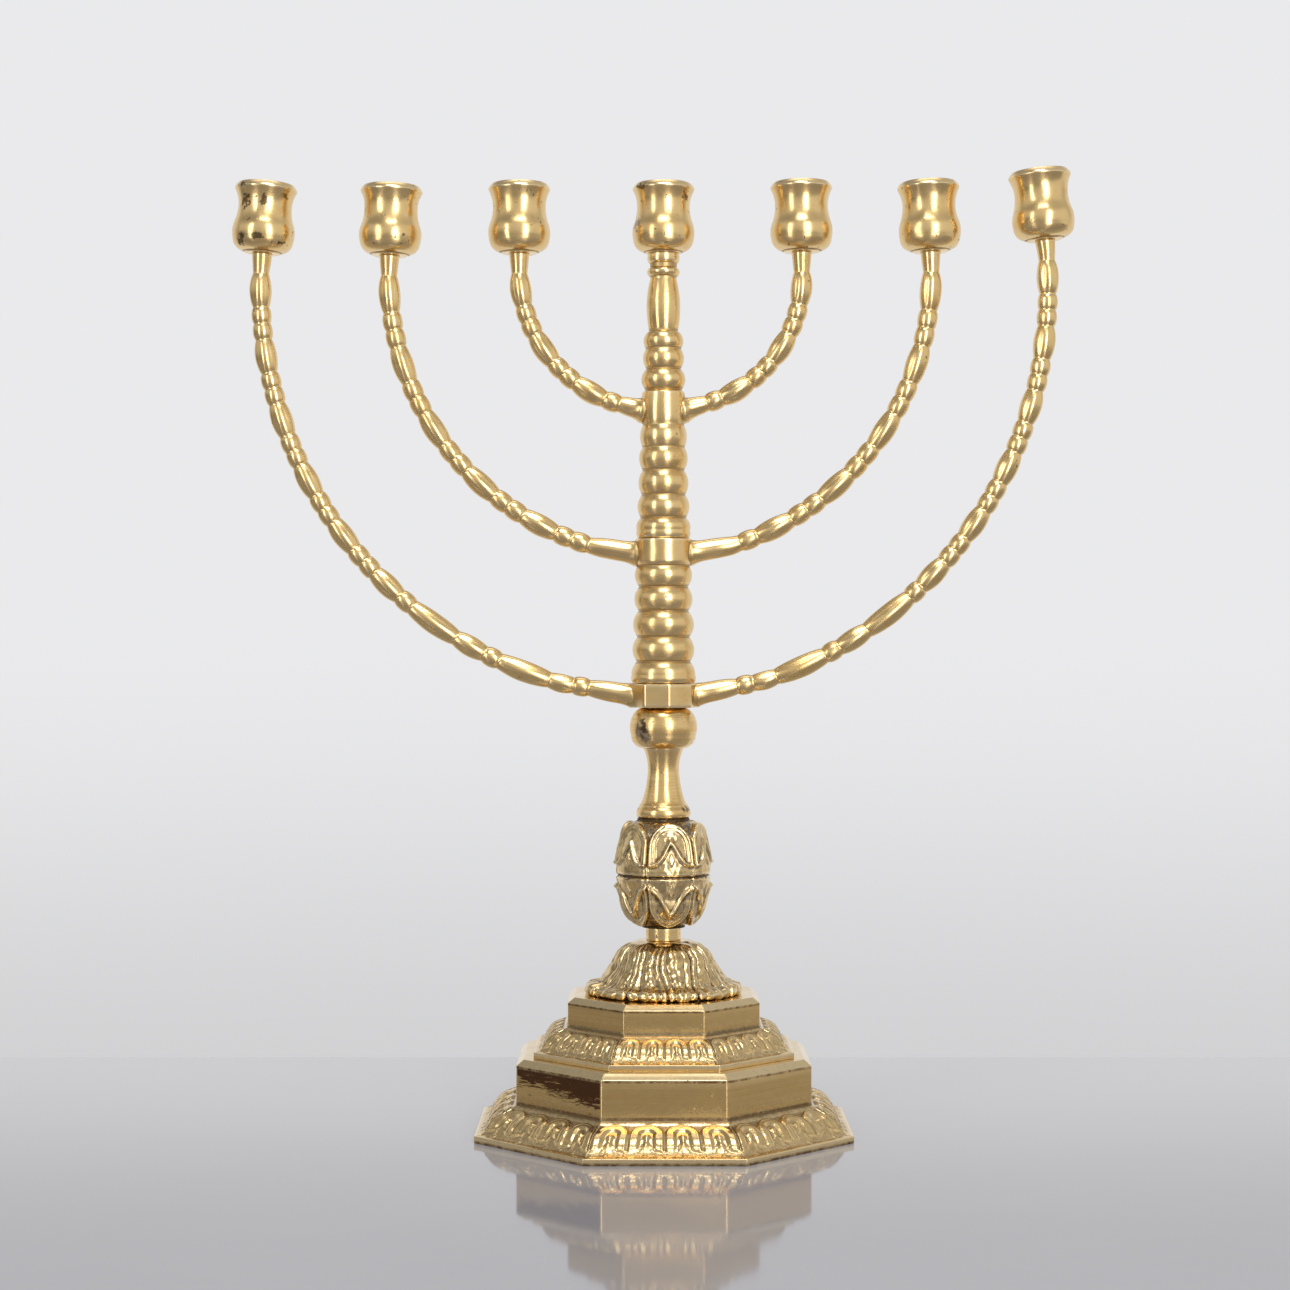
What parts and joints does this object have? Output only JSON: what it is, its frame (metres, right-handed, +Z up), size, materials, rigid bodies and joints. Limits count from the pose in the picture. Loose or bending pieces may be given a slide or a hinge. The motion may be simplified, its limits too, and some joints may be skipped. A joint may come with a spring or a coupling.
{
  "type": "menorah",
  "caption": "Brass branched candle holder: octagonal stepped base, turned and ribbed stem, nested beaded U-shaped arms that swivel on the stem, and a round cup on each tip.",
  "frame": {"origin": "centre of the base's underside, on the stem's axis", "axes": "+Z up along the stem; X along the arms, with the left arm at -X seen from the front; the front of the base faces -Y"},
  "size_m": [0.3563, 0.156, 0.4059],
  "materials": {
    "cast_brass": "cast brass, polished on the high parts and darkened in the recesses",
    "turned_brass": "turned and polished brass with light tarnish",
    "arm_brass": "cast and polished brass, darker in the grooves",
    "cup_brass": "turned and polished brass with dark specks",
    "screw_brass": "plain brass screw",
    "rod_steel": "plain steel hardware"
  },
  "bodies": {
    "base": {"base_lower": "cast_brass", "base_upper": "cast_brass", "leaf_dome": "cast_brass", "collar": "turned_brass", "knop_lower": "cast_brass", "knop_upper": "cast_brass", "neck": "turned_brass", "ball_knop": "turned_brass", "base_washer": "rod_steel"},
    "outer_pair": {"lower_arms": "arm_brass", "cup_outer_left": "cup_brass", "cup_outer_right": "cup_brass", "outer_cup_screws": "screw_brass"},
    "middle_pair": {"middle_arms": "arm_brass", "cup_middle_left": "cup_brass", "cup_middle_right": "cup_brass", "middle_cup_screws": "screw_brass"},
    "upper_group": {"upper_stem": "arm_brass", "cup_inner_left": "cup_brass", "cup_centre": "cup_brass", "cup_inner_right": "cup_brass", "upper_cup_screws": "screw_brass", "tie_rod": "rod_steel", "base_nut": "rod_steel"}
  },
  "joints": [
    {"name": "outer_pair_swivel", "type": "hinge", "parent": "base", "child": "outer_pair", "pos_m": [0, 0, 0.1831], "axis": [0, 0, 1], "continuous": true},
    {"name": "middle_pair_swivel", "type": "hinge", "parent": "base", "child": "middle_pair", "pos_m": [0, 0, 0.2188], "axis": [0, 0, 1], "continuous": true},
    {"name": "upper_group_swivel", "type": "hinge", "parent": "base", "child": "upper_group", "pos_m": [0, 0, 0.2495], "axis": [0, 0, 1], "continuous": true}
  ]
}
